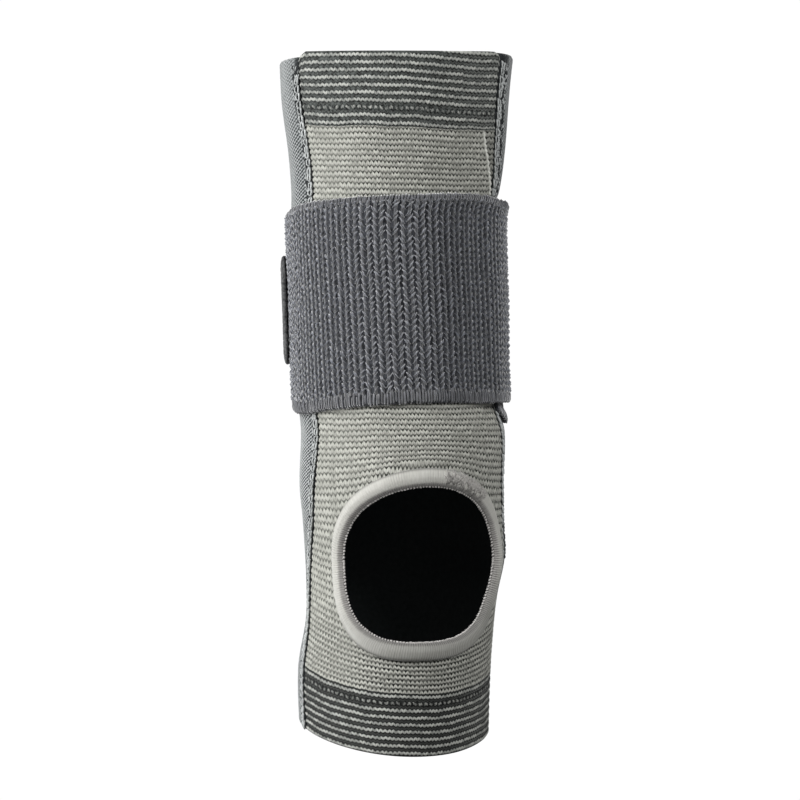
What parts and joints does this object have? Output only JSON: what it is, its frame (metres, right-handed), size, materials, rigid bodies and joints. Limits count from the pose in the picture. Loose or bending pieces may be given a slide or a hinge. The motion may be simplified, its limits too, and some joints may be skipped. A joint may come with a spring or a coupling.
{
  "type": "wrist support",
  "caption": "Knitted wrist sleeve with striped ends, a bound thumb hole and a ribbed wrap strap closed by a hook tab.",
  "frame": {"origin": "on the arm's axis inside the sleeve at the wrist, half-way up the strap", "axes": "+Z along the arm towards the forearm end, -Y towards the thumb hole, +X to the right as seen from the thumb side"},
  "size_m": [0.0577, 0.0803, 0.1677],
  "materials": {
    "thumb_side_panel": "weft knit, light rows on dark ground, dark stripes at the ends",
    "rib_panel": "grey melange rib knit",
    "thumb_hole_binding": "fine pale satin-like knit",
    "wrap_strap": "dark grey ribbed elastic knit",
    "hook_tab": "dark hook tape"
  },
  "bodies": {
    "root": {"thumb_side_panel": "thumb_side_panel", "rib_panel": "rib_panel", "thumb_hole_binding": "thumb_hole_binding", "wrap_strap": "wrap_strap", "hook_tab": "hook_tab"}
  },
  "joints": []
}
